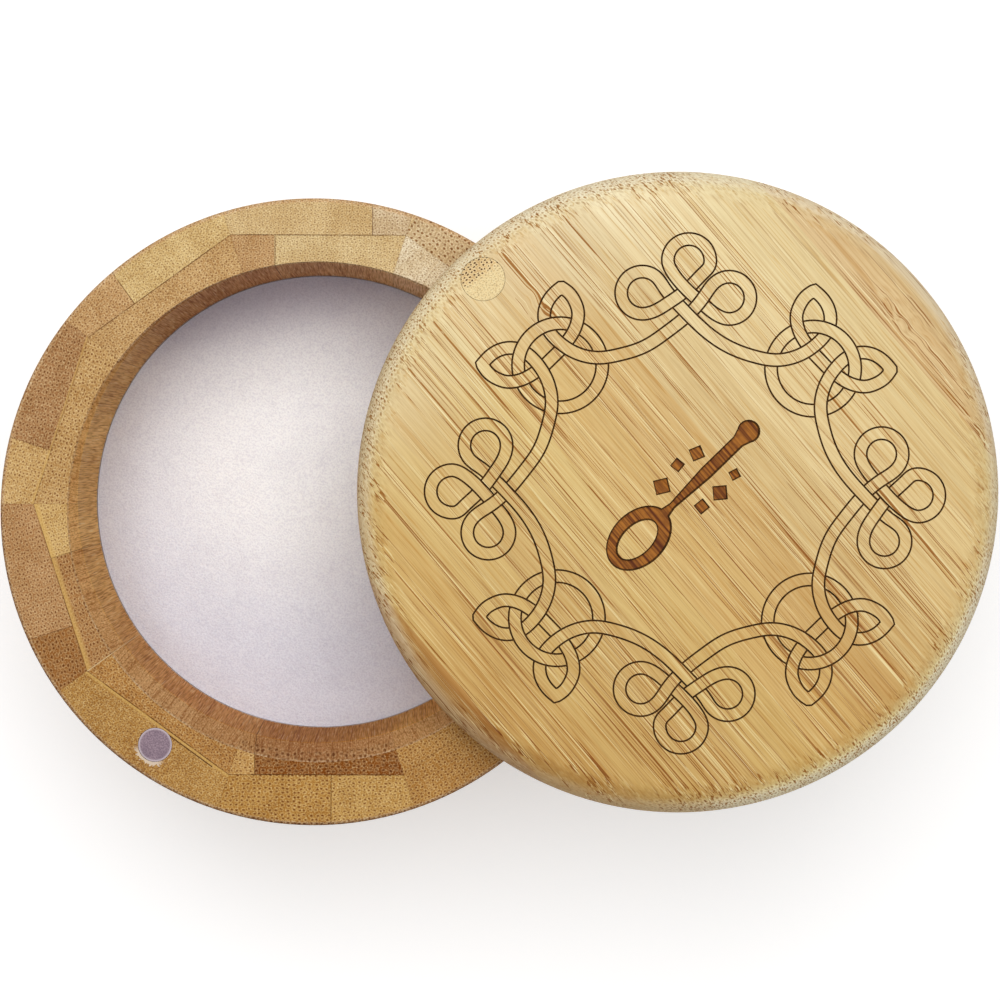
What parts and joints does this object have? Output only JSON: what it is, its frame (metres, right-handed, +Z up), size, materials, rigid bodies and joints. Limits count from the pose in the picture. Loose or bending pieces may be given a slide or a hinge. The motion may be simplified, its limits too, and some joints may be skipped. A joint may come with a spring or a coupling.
{
  "type": "salt box with swivel lid",
  "caption": "Round bamboo salt box with a thick flat lid that swings sideways on an upright screw and is caught shut by a magnet in the rim.",
  "frame": {"origin": "middle of the flat base, on the axis that the body's outside is turned on", "axes": "+Z up; +Y from the middle towards the pivot screw, which is the back; +X to the right, the side on which the lid stands open at rest"},
  "size_m": [0.128, 0.1211, 0.0698],
  "materials": {
    "rim_bamboo": "sanded end grain, satin oil",
    "board_bamboo": "sanded, satin oil",
    "nickel": "dull nickel plate",
    "steel": "zinc plate",
    "salt": "loose fine grains"
  },
  "bodies": {
    "body": {"outer_stave_01": "rim_bamboo", "outer_stave_02": "rim_bamboo", "outer_stave_03": "rim_bamboo", "outer_stave_04": "rim_bamboo", "outer_stave_05": "rim_bamboo", "outer_stave_06": "rim_bamboo", "outer_stave_07": "rim_bamboo", "outer_stave_08": "rim_bamboo", "outer_stave_09": "rim_bamboo", "outer_stave_10": "rim_bamboo", "inner_stave_01": "rim_bamboo", "inner_stave_02": "rim_bamboo", "inner_stave_03": "rim_bamboo", "inner_stave_04": "rim_bamboo", "inner_stave_05": "rim_bamboo", "inner_stave_06": "rim_bamboo", "inner_stave_07": "rim_bamboo", "inner_stave_08": "rim_bamboo", "inner_stave_09": "rim_bamboo", "inner_stave_10": "rim_bamboo", "base_disc": "board_bamboo", "body_magnet": "nickel", "salt_heap": "salt", "pivot_screw": "steel", "pivot_washer": "steel"},
    "lid": {"lid_board": "board_bamboo", "pivot_plug": "rim_bamboo", "lid_magnet": "nickel"}
  },
  "joints": [
    {"name": "lid_swivel", "type": "hinge", "parent": "body", "child": "lid", "pos_m": [0, 0.0399, 0.05715], "axis": [0, 0, 1], "range_deg": [-79, 281]}
  ]
}
